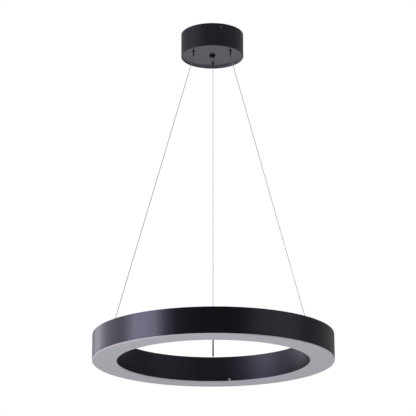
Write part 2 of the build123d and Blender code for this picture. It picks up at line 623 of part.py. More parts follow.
# ---------------------------------------------------------------- the set of pieces
def pieces():
    grips = gripper_places()
    yield "canopy_shell", canopy_shell()
    yield "ceiling_bracket", ceiling_bracket()
    yield "canopy_side_screws", canopy_side_screws()
    yield "led_driver", led_driver()
    yield "driver_screws", driver_screws()
    yield "terminal_block", terminal_block()
    yield "earth_terminal", earth_terminal()
    yield "cord_gland_body", in_canopy(gland_body(PLATE_T))
    yield "cord_gland_cap", in_canopy(gland_cap())
    yield "cord_gland_seal", in_canopy(gland_seal())
    yield "cord_gland_locknut", in_canopy(gland_locknut(PLATE_T))
    yield "gripper_bodies", group([p * gripper_body() for p in grips.values()])
    yield "gripper_nuts", group([p * gripper_nut() for p in grips.values()])
    yield "gripper_end_caps", group([p * gripper_end_cap() for p in grips.values()])
    for name, place in grips.items():
        yield f"gripper_plunger_{name}", place * gripper_plunger()
        yield f"clamp_balls_{name}", group([place * b for b in clamp_balls().solids()])
        yield f"gripper_spring_{name}", place * gripper_spring()
        yield f"suspension_wire_{name}", suspension_wire(name)
    yield "ring_housing", ring_housing()
    yield "led_tray", led_tray()
    yield "tray_screws", tray_screws()
    yield "led_boards", led_boards()
    yield "led_chips", led_chips()
    yield "diffuser", diffuser()
    yield "diffuser_screws", diffuser_screws()
    yield "anchor_studs", group([p * anchor_stud() for p in anchor_places()])
    yield "anchor_caps", group([p * anchor_cap() for p in anchor_places()])
    yield "anchor_nuts", group([p * anchor_nut() for p in anchor_places()])
    yield "wire_end_balls", wire_end_balls()
    yield "rear_wire_sleeve", rear_wire_sleeve()
    yield "inlet_gland_body", on_ring(gland_body(CHANNEL_T))
    yield "inlet_gland_cap", on_ring(gland_cap())
    yield "inlet_gland_seal", on_ring(gland_seal())
    yield "inlet_gland_locknut", on_ring(gland_locknut(CHANNEL_T))
    yield "led_connector", led_connector()


for node, shape in pieces():
    export_step(shape, f"parts/{node}.step")
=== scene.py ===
# %% [markdown]
# # A ring pendant, dressed for its picture
#
# The real light is three things: a black metal cup on the ceiling, three thin steel wires, and a
# black ring with a milky cover underneath. The solid model already has every piece at its true
# place and size, so it is loaded first and kept as the frame. This notebook adds what a solid
# model lacks: soft edges, the lay of the wires, small screw heads, and the finishes.

# %% Load the frame
import bmesh
import bpy
import json
from math import atan2, cos, hypot, pi, radians, sin
from mathutils import Matrix, Vector


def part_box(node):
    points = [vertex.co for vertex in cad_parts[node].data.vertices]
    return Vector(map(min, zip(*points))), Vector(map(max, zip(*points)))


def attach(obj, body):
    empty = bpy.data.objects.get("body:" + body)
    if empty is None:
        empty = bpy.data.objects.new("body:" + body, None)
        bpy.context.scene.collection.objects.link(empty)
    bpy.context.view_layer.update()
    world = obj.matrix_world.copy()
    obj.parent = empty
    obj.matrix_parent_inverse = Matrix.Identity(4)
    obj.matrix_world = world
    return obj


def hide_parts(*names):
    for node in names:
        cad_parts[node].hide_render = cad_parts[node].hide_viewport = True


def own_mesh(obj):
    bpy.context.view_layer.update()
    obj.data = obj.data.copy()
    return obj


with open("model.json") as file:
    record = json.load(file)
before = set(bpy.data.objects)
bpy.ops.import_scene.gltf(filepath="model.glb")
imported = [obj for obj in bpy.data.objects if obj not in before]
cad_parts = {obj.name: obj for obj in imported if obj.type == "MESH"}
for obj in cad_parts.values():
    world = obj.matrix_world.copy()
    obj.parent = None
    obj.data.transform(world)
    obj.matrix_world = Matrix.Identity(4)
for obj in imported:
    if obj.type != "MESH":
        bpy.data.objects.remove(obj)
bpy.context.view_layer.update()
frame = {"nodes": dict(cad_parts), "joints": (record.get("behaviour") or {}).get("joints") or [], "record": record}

# %% [markdown]
# ## Camera
#
# The photograph looks slightly up from below the ring, from over four metres away with a long
# lens. The outlines of the ring and the canopy fix the height, the tilt and the focal length.

# %% Camera
camera_data = bpy.data.cameras.new("camera")
camera_data.sensor_width = 36.0
camera_data.lens = 157.243
camera = bpy.data.objects.new("camera", camera_data)
camera.location = (0.0, -4.4044, -1.8491)
turn, tilt, roll = 0.0028, 0.30267, -0.003
camera.rotation_euler = (Matrix.Rotation(turn, 4, "Z")
                         @ Matrix.Rotation(radians(90) + tilt, 4, "X")
                         @ Matrix.Rotation(roll, 4, "Z")).to_euler()
bpy.context.scene.collection.objects.link(camera)
bpy.context.scene.camera = camera
print("camera height", round(camera.location.z, 3), "lens", camera_data.lens)

# %% [markdown]
# ## Light
#
# Black paint shows its shape only by what it mirrors. Three soft panels stand on the left: the key
# makes the broad bright band on the ring, a dim one fills the dip beside it, and one further back
# lights the ring's left end. A weak panel stands on the right and another lies below. The side of
# the room behind the camera stays dark, so the middle of the ring goes nearly black.

# %% Soft panels
def soft_panel(name, place, aim, width, height, power, colour=(1.0, 1.0, 1.0)):
    """A rectangular lamp that looks from place to aim."""
    data = bpy.data.lights.new(name, "AREA")
    data.shape = "RECTANGLE"
    data.size, data.size_y, data.energy, data.color = width, height, power, colour
    lamp = bpy.data.objects.new(name, data)
    lamp.location = place
    lamp.rotation_euler = (Vector(aim) - Vector(place)).to_track_quat("-Z", "Y").to_euler()
    lamp.visible_camera = False
    bpy.context.scene.collection.objects.link(lamp)


middle = (0.0, 0.0, -0.55)
violet_light = (0.94, 0.91, 1.0)
soft_panel("key_panel", (-2.62, -1.22, -0.32), middle, 1.77, 1.3, 36.0, violet_light)
soft_panel("left_wall_panel", (-2.75, 1.1, -0.35), middle, 2.7, 1.4, 11.6, violet_light)
soft_panel("back_left_panel", (-2.06, 2.21, -0.35), middle, 1.01, 1.4, 6.8, violet_light)
soft_panel("right_panel", (2.66, -1.66, -0.35), middle, 3.0, 1.6, 7.4)
soft_panel("low_panel", (0.0, -0.6, -2.4), middle, 3.4, 2.6, 14.5)

# %% [markdown]
# ## Shader arithmetic
#
# Every finish below is a small sum: a base value plus some grain. The class here wraps a socket,
# so that such sums read as plain Python. The builder makes any other node from its type, its
# settings and what goes into its sockets.

# %% Shader helpers
class Value:
    """One number of a shader: arithmetic on it adds Math nodes."""

    def __init__(self, finish, socket):
        self.finish, self.socket = finish, socket

    def _sum(self, operation, first, second):
        return self.finish.node("ShaderNodeMath", {"operation": operation},
                                {0: first, 1: second})["Value"]

    def __add__(self, other): return self._sum("ADD", self, other)
    def __radd__(self, other): return self._sum("ADD", other, self)
    def __sub__(self, other): return self._sum("SUBTRACT", self, other)
    def __rsub__(self, other): return self._sum("SUBTRACT", other, self)
    def __mul__(self, other): return self._sum("MULTIPLY", self, other)
    def __rmul__(self, other): return self._sum("MULTIPLY", other, self)
    def __gt__(self, other): return self._sum("GREATER_THAN", self, other)


class Made:
    """A node whose outputs are read by name."""

    def __init__(self, finish, node):
        self.finish, self.made = finish, node

    def __getitem__(self, name):
        return Value(self.finish, self.made.outputs[name])


class Finish:
    """A material or a world under construction."""

    def __init__(self, owner):
        owner.use_nodes = True
        self.owner, self.tree = owner, owner.node_tree
        self.tree.nodes.clear()

    def node(self, kind, settings=None, inputs=None):
        made = self.tree.nodes.new(kind)
        for name, value in (settings or {}).items():
            if name == "stops":
                ramp = made.color_ramp.elements
                while len(ramp) < len(value):
                    ramp.new(0.5)
                for stop, (place, colour) in zip(ramp, value):
                    stop.position, stop.color = place, colour
            else:
                setattr(made, name, value)
        for name, value in (inputs or {}).items():
            if isinstance(value, Value):
                self.tree.links.new(value.socket, made.inputs[name])
            else:
                made.inputs[name].default_value = value
        return Made(self, made)

    def place(self):
        return self.node("ShaderNodeTexCoord")["Object"]

    def noise(self, scale, detail=2.0, rough=0.5, vector=None):
        return self.node("ShaderNodeTexNoise", {}, {
            "Vector": vector or self.place(), "Scale": scale, "Detail": detail,
            "Roughness": rough})["Fac"]

    def mix(self, share, first, second):
        """Between two colours."""
        node = self.node("ShaderNodeMix", {"data_type": "RGBA"}, {0: share})
        node.made.inputs[6].default_value = first
        node.made.inputs[7].default_value = second
        return Value(self, node.made.outputs[2])

    def bump(self, height, distance, strength=1.0):
        return self.node("ShaderNodeBump", {}, {
            "Height": height, "Distance": distance, "Strength": strength})["Normal"]

    def surface(self, inputs):
        shader = self.node("ShaderNodeBsdfPrincipled", {}, inputs)
        self.node("ShaderNodeOutputMaterial", {}, {"Surface": shader["BSDF"]})
        return self.owner


def finish_named(name):
    return Finish(bpy.data.materials.new(name))


def grey(level, warmth=0.0):
    """A neutral colour, warmer above zero and cooler below it."""
    return (level * (1 + warmth), level, level * (1 - warmth), 1.0)


def dusky(level):
    """A dark colour that leans to violet."""
    return (level, level * 0.90, level * 1.10, 1.0)


# %% [markdown]
# ### The room
#
# The backdrop is pure white for the camera. What the black paint mirrors is dimmer: the room is
# dark behind the camera, brighter beyond the object, and brightest low down beyond it, which is
# what lifts the underside of the canopy out of the black.

# %% World
def room_light():
    """White to the camera, bright beyond the object, dim behind the camera."""
    world = bpy.data.worlds.new("room")
    bpy.context.scene.world = world
    room = Finish(world)
    direction = room.node("ShaderNodeTexCoord")["Generated"]
    along = room.node("ShaderNodeSeparateXYZ", {}, {"Vector": direction})
    height = along["Z"]
    steep = height * height
    beneath = 1 - (height > 0.0)
    level = 0.30 + along["Y"] * 0.22 + steep * (1.1 + beneath * 0.5)
    strength = 1.0 + beneath * steep * steep * 60.0
    stops = [(0.0, grey(0.05)), (0.22, grey(0.06)), (0.40, grey(0.20)), (0.60, grey(0.29)),
             (0.75, grey(0.46)), (1.0, grey(0.62))]
    seen = room.node("ShaderNodeValToRGB", {"stops": stops}, {"Fac": level})["Color"]
    ray = room.node("ShaderNodeLightPath")
    mirrored = room.node("ShaderNodeBackground", {}, {"Color": seen, "Strength": strength})
    soft = room.node("ShaderNodeBackground", {}, {"Color": grey(0.30, -0.03), "Strength": 1.0})
    white = room.node("ShaderNodeBackground", {}, {"Color": grey(1.0), "Strength": 1.0})
    dim = room.node("ShaderNodeMixShader", {}, {0: ray["Is Glossy Ray"], 1: soft["Background"],
                                                 2: mirrored["Background"]})
    clear = ray["Is Camera Ray"] + ray["Is Transmission Ray"]
    both = room.node("ShaderNodeMixShader", {}, {0: clear, 1: dim["Shader"],
                                                 2: white["Background"]})
    room.node("ShaderNodeOutputWorld", {}, {"Surface": both["Shader"]})


room_light()

# %% [markdown]
# ## Finishes
#
# * The ring and the canopy are powder coated: nearly black with a violet cast, satin, with a
#   faint orange peel. The ring's inner wall is duller, and darker by painted shade; the canopy's
#   underside is a little lighter, which is painted light.
# * The cover is opal plastic: pale, smooth and slightly translucent.
# * The wires and small fittings are steel, brass and black nylon.

# %% Black coats
def powder_coat(name, level, rough, peel, tint, streaks=0.0, within=0.0, duller=0.0, painted_lift=0.0):
    """Satin black with a faint orange peel, and faint upright streaks where streaks isn't 0.
    Nearer to the object's axis than within metres, its roughness rises by duller, and its colour moves by the last
    amount: painted light above 0, painted shade below 0."""
    coat = finish_named(name)
    place = coat.node("ShaderNodeSeparateXYZ", {}, {"Vector": coat.place()})
    beyond = place["X"] * place["X"] + place["Y"] * place["Y"] > within ** 2
    inner = 1 - beyond
    cloud = coat.noise(9.0, 3.0)
    grain = coat.noise(peel, 2.0, 0.6)
    upright = coat.node("ShaderNodeMapping", {}, {"Vector": coat.place(), "Scale": (1, 1, 0.04)})
    streak = coat.noise(70.0, 2.0, 0.6, upright["Vector"])
    return coat.surface({
        # Near the axis the colour moves by the last amount: painted light where it is above 0, painted shade where
        # it is below.
        "Base Color": coat.mix(cloud * 0.3 + inner * 0.7, dusky(level),
                               dusky(level + painted_lift)),
        "Roughness": (rough + (cloud - 0.5) * 0.06 + (grain - 0.5) * 0.05
                      + (streak - 0.5) * streaks + inner * duller),
        "Specular IOR Level": 0.66,
        "Specular Tint": tint,
        "Normal": coat.bump(grain, 0.00012, 0.35),
    })


def moulded(name, level, rough, warmth=0.0, grain_size=2500.0, depth=0.00005, gloss=0.5):
    """Moulded plastic or rubber with a fine spark-eroded grain."""
    plastic = finish_named(name)
    grain = plastic.noise(grain_size, 2.0, 0.7)
    tone = plastic.noise(60.0, 2.0)
    return plastic.surface({
        "Base Color": plastic.mix(tone, grey(level, warmth), grey(min(level * 1.12, 0.92), warmth)),
        "Roughness": rough + (grain - 0.5) * 0.12,
        "Specular IOR Level": gloss,
        "Normal": plastic.bump(grain, depth, 0.5),
    })


violet, faint_violet = (0.78, 0.73, 1.0, 1.0), (0.88, 0.82, 0.97, 1.0)
canopy_violet = (0.74, 0.67, 0.88, 1.0)
coats = {
    # The ring's inner wall is made darker in colour than the rest of the coat: painted shade.
    "black_aluminium": powder_coat("ring_coat", 0.0055, 0.31, 900.0, violet, 0.10,
                                   within=0.2395, duller=0.13, painted_lift=-0.0045),
    # The canopy's underside is made lighter in colour than its side wall: painted light.
    "black_canopy": powder_coat("canopy_coat", 0.007, 0.37, 1100.0, canopy_violet, 0.06,
                                within=0.0797, painted_lift=0.066),
    # The screws are dark grey rather than the black of the canopy: a painted highlight for the glint on their
    # heads.
    "black_screws": powder_coat("screw_coat", 0.07, 0.24, 2500.0, faint_violet),
    "black_brass": powder_coat("fitting_coat", 0.004, 0.40, 3000.0, faint_violet),
    "black_nylon": moulded("black_nylon", 0.006, 0.62, gloss=0.12),
    "seal_rubber": moulded("seal_rubber", 0.008, 0.75, gloss=0.10),
    "sleeve_rubber": moulded("sleeve_rubber", 0.010, 0.55, gloss=0.30),
    "terminal_nylon": moulded("terminal_nylon", 0.62, 0.38, 0.03),
    "driver_case": moulded("driver_case", 0.70, 0.45, 0.01),
    "white_board": moulded("board_lacquer", 0.80, 0.30, 0.0, 900.0),
    "led_yellow": moulded("phosphor", 0.75, 0.35, 0.45, 4000.0),
}
print("coats:", sorted(coats))

# %% Metals
def metal(name, colour, rough, brush=None):
    """Bare metal: fine scratches along one direction, or a cloudy plated look."""
    bare = finish_named(name)
    place = bare.place()
    if brush:
        place = bare.node("ShaderNodeMapping", {}, {"Vector": place, "Scale": brush})["Vector"]
    grain = bare.noise(1.0 if brush else 700.0, 4.0, 0.6, place)
    cloud = bare.noise(120.0, 2.0)
    dark = tuple(c * 0.82 for c in colour[:3]) + (1.0,)
    return bare.surface({
        "Base Color": bare.mix(cloud, dark, colour),
        "Metallic": 1.0,
        "Roughness": rough + (grain - 0.5) * 0.18,
        "Normal": bare.bump(grain, 0.00004, 0.4),
    })


coats.update({
    "zinc_steel": metal("zinc_plate", (0.62, 0.63, 0.66, 1.0), 0.34),
    "steel": metal("screw_steel", (0.60, 0.60, 0.61, 1.0), 0.24),
    "spring_steel": metal("spring_steel", (0.45, 0.45, 0.46, 1.0), 0.28),
    "wire_steel": metal("wire_steel", (0.50, 0.50, 0.51, 1.0), 0.34),
    "brass": metal("brass", (0.78, 0.58, 0.28, 1.0), 0.27),
    "bare_aluminium": metal("tray_aluminium", (0.80, 0.80, 0.82, 1.0), 0.36, (60.0, 2200.0, 60.0)),
})

# %% Opal cover
def opal_plastic():
    """Milky acrylic with its lamps off: pale, faintly cool, smooth, light sinks in a little."""
    opal = finish_named("opal_acrylic")
    haze = opal.noise(14.0, 3.0)
    grain = opal.noise(1800.0, 2.0)
    return opal.surface({
        "Base Color": opal.mix(haze, (0.685, 0.645, 0.72, 1.0), (0.735, 0.695, 0.775, 1.0)),
        "Roughness": 0.34 + (haze - 0.5) * 0.05,
        "IOR": 1.49,
        "Specular IOR Level": 0.40,
        "Subsurface Weight": 0.25,
        "Subsurface Scale": 0.003,
        "Normal": opal.bump(grain, 0.00003, 0.3),
    })


coats["opal"] = opal_plastic()

# %% Dress the solid pieces
for part in frame["record"]["subparts"]:
    node = frame["nodes"][part["node"]]
    node.data.materials.clear()
    node.data.materials.append(coats[part["material_slot"]])

# %% [markdown]
# ## Turned pieces
#
# The ring, its cover and the canopy are all round, so each is one outline spun about an axis. The
# sharp corners of the outline are then broken with a bevel, because on the real pieces those
# corners catch a thin line of light.

# %% Mesh helpers
MM = 0.001
FULL_TURN = 2 * pi


def as_object(name, mesh, slot, body, *nodes):
    """Puts a bmesh into the scene as a finished piece."""
    data = bpy.data.meshes.new(name)
    mesh.to_mesh(data)
    mesh.free()
    data.materials.append(coats[slot])
    piece = bpy.data.objects.new(name, data)
    bpy.context.scene.collection.objects.link(piece)
    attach(piece, body)
    if nodes:
        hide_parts(*nodes)
    return piece


def outline_loop(mesh, outline, scale=MM):
    """A closed loop of edges from (radius, height) pairs, in the XZ plane."""
    corners = [mesh.verts.new((r * scale, 0.0, z * scale)) for r, z in outline]
    edges = [mesh.edges.new(pair) for pair in zip(corners, corners[1:] + corners[:1])]
    return corners + edges


def spin_about(mesh, geometry, steps, angle=FULL_TURN):
    bmesh.ops.spin(mesh, geom=geometry, cent=(0, 0, 0), axis=(0, 0, 1), angle=angle,
                   steps=steps, use_merge=angle == FULL_TURN, use_duplicate=False)
    bmesh.ops.remove_doubles(mesh, verts=mesh.verts, dist=1e-7)
    bmesh.ops.recalc_face_normals(mesh, faces=mesh.faces)


def sharp_edges(mesh, least=radians(35)):
    return [e for e in mesh.edges if e.is_manifold and e.calc_face_angle(0.0) > least]


def lowest(edges, low):
    """Those of the edges that lie at the height low."""
    return [e for e in edges if all(v.co.z < (low + 0.1) * MM for v in e.verts)]


def ease(mesh, edges, width, segments=2):
    """Breaks sharp corners with a small round."""
    bmesh.ops.bevel(mesh, geom=edges, offset=width * MM, offset_type="OFFSET",
                    affect="EDGES", segments=segments, profile=0.5, material=-1)


def smooth(mesh, least=radians(30)):
    """Smooth faces, with a hard line wherever two faces still meet at an angle."""
    for face in mesh.faces:
        face.smooth = True
    for edge in mesh.edges:
        edge.smooth = not (edge.is_manifold and edge.calc_face_angle(0.0) > least)


def held(outline, reach):
    """Adds a point near each end of a long run, so that smooth shading bends only there."""
    points = []
    for (r0, z0), (r1, z1) in zip(outline, outline[1:] + outline[:1]):
        run = hypot(r1 - r0, z1 - z0)
        points.append((r0, z0))
        if run > 3 * reach:
            points += [(r0 + (r1 - r0) * share, z0 + (z1 - z0) * share)
                       for share in (reach / run, 1 - reach / run)]
    return points


def turned(outline, steps, ease_by=0.0, reach=1.0):
    """A finished turned piece from its outline."""
    mesh = bmesh.new()
    spin_about(mesh, outline_loop(mesh, held(outline, reach)), steps)
    if ease_by:
        ease(mesh, sharp_edges(mesh), ease_by)
    smooth(mesh)
    return mesh


def height_of(node):
    """The lowest and highest point of a solid piece, in millimetres."""
    low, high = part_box(node)
    return low.z / MM, high.z / MM


# %% [markdown]
# ### Ring
#
# A channel of coated aluminium, open downwards. Its walls are two millimetres thick, and the
# ledges inside carry the lamp tray. The outer corners at the top are only just broken.

# %% Ring channel
ring_low, ring_top = height_of("ring_housing")
ring_out = 300.0
section, wall = 61.0, 2.0
ring_in = ring_out - section
ledge_low = ring_low + 24.0
ledge_top = ledge_low + 3.0
inside, outside = ring_in + wall, ring_out - wall
ledge_in, ledge_out = inside + 6.0, outside - 6.0
RING_STEPS = 288

channel = turned([
    (ring_in, ring_low), (ring_in, ring_top), (ring_out, ring_top), (ring_out, ring_low),
    (outside, ring_low), (outside, ledge_low), (ledge_out, ledge_low),
    (ledge_out, ledge_top), (outside, ledge_top),
    (outside, ring_top - wall), (inside, ring_top - wall),
    (inside, ledge_top), (ledge_in, ledge_top),
    (ledge_in, ledge_low), (inside, ledge_low), (inside, ring_low),
], RING_STEPS, 0.12)
ring_channel = as_object("ring_channel", channel, "black_aluminium", "ring", "ring_housing")
print("ring channel", len(ring_channel.data.polygons), "faces")

# %% [markdown]
# ### Cover
#
# The opal trough laps under both walls of the channel. Its lower corners are well rounded, and
# that round is the thin bright line along the edge of the ring.

# %% Opal cover
cover_low, cover_top = height_of("diffuser")
lap, cover_wall = 0.3, 2.5
floor_top = cover_low + cover_wall
flank_in, flank_out = inside + lap, outside - lap
cover = bmesh.new()
spin_about(cover, outline_loop(cover, held([
    (ring_in + lap, cover_low), (ring_out - lap, cover_low), (ring_out - lap, ring_low),
    (flank_out, ring_low), (flank_out, cover_top), (flank_out - cover_wall, cover_top),
    (flank_out - cover_wall, floor_top), (flank_in + cover_wall, floor_top),
    (flank_in + cover_wall, cover_top), (flank_in, cover_top),
    (flank_in, ring_low), (ring_in + lap, ring_low)], 1.3)), RING_STEPS)
ease(cover, lowest(sharp_edges(cover), cover_low), 0.9, 4)
smooth(cover)
ring_cover = as_object("ring_cover", cover, "opal", "ring", "diffuser")
print("cover", len(ring_cover.data.polygons), "faces")

# %% [markdown]
# ### Canopy
#
# A cup with its plate set up inside the rim. The outer corner of the rim has a small round, and
# the inner corner is a cove, as in any pressed cup, so no hard dark line runs round the plate.

# %% Canopy cup
cup_low, cup_top = height_of("canopy_shell")
cup_out, cup_wall = 81.0, 1.5
plate_recess, plate_t = 5.4, 2.0
plate_low = cup_low + plate_recess
plate_top = plate_low + plate_t
cup_in, cove_r = cup_out - cup_wall, 4.4
cove = [(cup_in - cove_r * (1 - sin(turn)), plate_low - cove_r * (1 - cos(turn)))
        for turn in map(radians, range(0, 91, 15))]
cup = bmesh.new()
spin_about(cup, outline_loop(cup, held([(0.0, plate_low)] + cove + [
    (cup_in, cup_low), (cup_out, cup_low), (cup_out, cup_top), (cup_in, cup_top),
    (cup_in, plate_top), (0.0, plate_top)], 1.0)), 160)
ease(cup, lowest(sharp_edges(cup), cup_low), 1.0, 4)
smooth(cup)
canopy_cup = as_object("canopy_cup", cup, "black_canopy", "canopy", "canopy_shell")
print("canopy cup", len(canopy_cup.data.polygons), "faces")

# %% [markdown]
# ## Wires
#
# Each wire is a rope of fine steel strands, so its outline is lobed and the lobes wind round it. A
# lobed loop is spun about its own middle while it rises, which twists it as it grows. The length
# under the canopy gets shorter when the ring is raised, so that stretch is a piece of its own,
# and the short stretch inside the gripper is a piece apart.

# %% Where the wires run
wire_r = 0.75
nozzle_down, bend_down = 12.0, 2.5
bend_z = plate_low - nozzle_down - bend_down
grip_r, anchor_r = 55.3, ring_out - section / 2
grip_turns = {"left": 208.3, "right": 328.3, "rear": 88.3}
anchor_turns = {"left": 206.6, "right": 325.7, "rear": 90.2}
ball_up, into_ball = 3.063, 2.0
ball_z = ring_top + ball_up
tail_z = height_of("suspension_wire_rear")[1]


def spot(radius, azimuth, z):
    return Vector((radius * cos(radians(azimuth)), radius * sin(radians(azimuth)), z)) * MM


def carry(mesh, start, direction):
    """Moves a mesh drawn upwards from the origin to start, leaning along direction."""
    lean = direction.to_track_quat("Z", "X").to_matrix().to_4x4()
    bmesh.ops.transform(mesh, matrix=Matrix.Translation(start) @ lean, verts=mesh.verts)


# %% Stranded wire
def strand_rope(start, end, radius, strands=6, lay=9.0, step=0.75, groove=0.90):
    """A rope from start to end; lay is how far it runs for one full turn of its strands."""
    length = (end - start).length
    steps = max(2, round(length / (step * MM)))
    mesh = bmesh.new()
    bmesh.ops.create_circle(mesh, cap_ends=False, segments=2 * strands, radius=radius * MM)
    for index, vert in enumerate(mesh.verts):
        if index % 2:
            vert.co *= groove
    loop = list(mesh.verts) + list(mesh.edges)
    bmesh.ops.spin(mesh, geom=loop, cent=(0, 0, 0), axis=(0, 0, 1), dvec=(0, 0, length / steps),
                   angle=FULL_TURN * length / (lay * MM), steps=steps, use_duplicate=False)
    bmesh.ops.holes_fill(mesh, edges=[e for e in mesh.edges if e.is_boundary], sides=0)
    bmesh.ops.recalc_face_normals(mesh, faces=mesh.faces)
    carry(mesh, start, (end - start).normalized())
    smooth(mesh, radians(80))
    return mesh


raised = frame["joints"][0]["range_m"][1]
kept = 1.0 - raised / ((bend_z - ball_z) * MM)
for name in grip_turns:
    top = spot(grip_r, grip_turns[name], tail_z)
    bend = spot(grip_r, grip_turns[name], bend_z)
    ball = spot(anchor_r, anchor_turns[name], ball_z)
    low = ball + (ball - bend).normalized() * into_ball * MM
    as_object(f"wire_tail_{name}", strand_rope(bend, top, wire_r), "wire_steel",
              "canopy", f"suspension_wire_{name}")
    span = as_object(f"wire_span_{name}", strand_rope(low, bend, wire_r), "wire_steel",
                     "canopy", f"suspension_wire_{name}")
    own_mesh(span)
print("wire spans keep", round(kept, 4), "of their height when the ring is up")

# %% [markdown]
# ### Sleeve
#
# The foot of the rear wire wears a tapered sleeve. It starts a little above the anchor's cap, so
# that it still clears the cap when the ring is up and the wire leans more.

# %% Rear sleeve
sleeve_up_ball, sleeve_long = 5.9, 70.0
bore = wire_r + 0.1
sleeve = turned([(bore, 0.0), (2.05, 0.0), (1.6, sleeve_long), (bore, sleeve_long)], 32, 0.2)
bend = spot(grip_r, grip_turns["rear"], bend_z)
ball = spot(anchor_r, anchor_turns["rear"], ball_z)
sleeve_up = (bend - ball).normalized()
foot = sleeve_up_ball * MM / sleeve_up.z
carry(sleeve, ball + sleeve_up * foot, sleeve_up)
rear_sleeve = as_object("rear_sleeve", sleeve, "sleeve_rubber", "canopy", "rear_wire_sleeve")
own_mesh(rear_sleeve)

# %% [markdown]
# ## Small fittings
#
# Nuts, flanges and screws are turned pieces too. A nut is turned with chamfered ends and its sides
# are then pulled in to six flats, which leaves the curved chamfers of a real nut. A knurl or a row
# of ribs comes from pulling in every other column of the rim.

# %% Flats, ribs and placing
def flats(mesh, apothem, sides=6):
    """Pulls everything outside a polygon in to its sides."""
    part = FULL_TURN / sides
    for vert in mesh.verts:
        turn = atan2(vert.co.y, vert.co.x) % part - part / 2
        reach = apothem * MM / cos(turn)
        if vert.co.xy.length > reach:
            vert.co.xy *= reach / vert.co.xy.length
    return mesh


def ribs(mesh, beyond, depth, count):
    """Pulls in every other stretch of the rim outside a radius."""
    for vert in mesh.verts:
        turn = atan2(vert.co.y, vert.co.x) / FULL_TURN * count
        radius = vert.co.xy.length
        if radius > beyond * MM and turn % 1.0 > 0.45:
            vert.co.xy *= (radius - depth * MM) / radius
    return mesh


def joined(*meshes):
    """Several meshes as one."""
    whole = bmesh.new()
    for mesh in meshes:
        data = bpy.data.meshes.new("join")
        mesh.to_mesh(data)
        mesh.free()
        whole.from_mesh(data)
        bpy.data.meshes.remove(data)
    return whole


def moved(mesh, matrix):
    bmesh.ops.transform(mesh, matrix=matrix, verts=mesh.verts)
    return mesh


def facing(point, direction):
    """Where a piece drawn upwards from the origin goes when it looks along direction."""
    return Matrix.Translation(point) @ direction.to_track_quat("Z", "X").to_matrix().to_4x4()


def thread(crest, root, start, turns, pitch=1.0):
    """An outline's zigzag of crests and roots."""
    points = []
    for i in range(turns):
        points += [(crest, start + pitch * i), (root, start + pitch * (i + 0.5))]
    return points


def chamfered(bore, outer, low, high, cut=0.5):
    """A washer's outline whose outer corners are cut off."""
    return [(bore, low), (outer - cut, low), (outer, low + cut * 0.6), (outer, high - cut * 0.6),
            (outer - cut, high), (bore, high)]


# %% [markdown]
# ### Ball grippers
#
# Under the plate only a knurled flange and the nozzle show. Pressing the nozzle up frees the wire,
# so the nozzle is a piece of its own that rides on its own body. The spring above it gets shorter
# as the nozzle rises, and it is a piece of its own as well.

# %% Grippers and nozzles
def gripper_mesh():
    """Flange below the plate, then the threaded barrel with its bore."""
    mesh = turned([(1.9, -1.8), (4.2, -1.8), (4.6, -1.45), (4.6, -0.1), (4.0, 0.0)]
                  + thread(4.0, 3.65, 1.0, 15)
                  + [(4.0, 16.0), (3.1, 16.0), (3.1, 9.2), (1.9, 1.0)], 48, reach=0.5)
    return ribs(mesh, 4.3, 0.22, 24)


def nozzle_mesh():
    """A slim tube with a rounded mouth, and the collar that the spring pushes on."""
    return turned([(0.95, -11.7), (1.25, -12.0), (1.55, -12.0), (1.8, -11.7), (1.8, -2.4),
                   (1.65, -2.2), (1.8, -2.0), (1.8, 7.2), (2.6, 7.3), (2.6, 9.1), (0.95, 9.2)],
                  40, reach=0.4)


def coil_mesh(mean, wire, low, high, turns=3, steps=28):
    """A compression spring: a small loop spun about the axis while it rises."""
    mesh = bmesh.new()
    loop = bmesh.ops.create_circle(mesh, cap_ends=False, segments=6, radius=wire * MM)["verts"]
    bmesh.ops.rotate(mesh, verts=loop, cent=(0, 0, 0), matrix=Matrix.Rotation(pi / 2, 3, "X"))
    bmesh.ops.translate(mesh, verts=loop, vec=(mean * MM, 0.0, (low + wire) * MM))
    rise = (high - low - 2 * wire) * MM / (turns * steps)
    bmesh.ops.spin(mesh, geom=list(mesh.verts) + list(mesh.edges), cent=(0, 0, 0), axis=(0, 0, 1),
                   dvec=(0, 0, rise), angle=FULL_TURN * turns, steps=turns * steps)
    bmesh.ops.holes_fill(mesh, edges=[e for e in mesh.edges if e.is_boundary], sides=0)
    bmesh.ops.recalc_face_normals(mesh, faces=mesh.faces)
    smooth(mesh, radians(70))
    return mesh


travel = {joint["name"]: joint["range_m"][1] for joint in frame["joints"]}
for name, turn in grip_turns.items():
    low, high = height_of(f"gripper_spring_{name}")
    coil = moved(coil_mesh(2.1, 0.25, low, high), Matrix.Translation(spot(grip_r, turn, 0.0)))
    spring = as_object(f"spring_{name}", coil, "spring_steel", "canopy", f"gripper_spring_{name}")
    1.0 - travel[f"nozzle_press_{name}"] / ((high - low) * MM)
    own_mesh(spring)
    print("spring", name, round(low, 2), round(high, 2))
    place = Matrix.Translation(spot(grip_r, turn, plate_low))
    as_object(f"gripper_{name}", moved(gripper_mesh(), place), "black_brass", "canopy",
              "gripper_bodies")
    as_object(f"nozzle_{name}", moved(nozzle_mesh(), place), "black_brass", f"nozzle_{name}",
              f"gripper_plunger_{name}")
print("grippers at azimuths", list(grip_turns.values()))

# %% [markdown]
# ### Cord glands
#
# One gland closes the hole in the middle of the canopy's plate and the same gland, upside down,
# is the inlet on top of the ring. Its cap is ribbed for the fingers and a soft seal sits in it.

# %% Glands
def gland_cap_mesh():
    """Drawn below the plate: a ribbed cap with a rounded end and the cord's mouth."""
    mesh = turned([(2.4, -5.5), (5.6, -5.5), (6.5, -5.1), (7.0, -4.3), (7.0, -2.5), (6.7, -2.05),
                   (5.6, -2.05), (5.6, -4.2), (2.4, -4.2)], 60, reach=0.6)
    return ribs(mesh, 6.85, 0.35, 20)


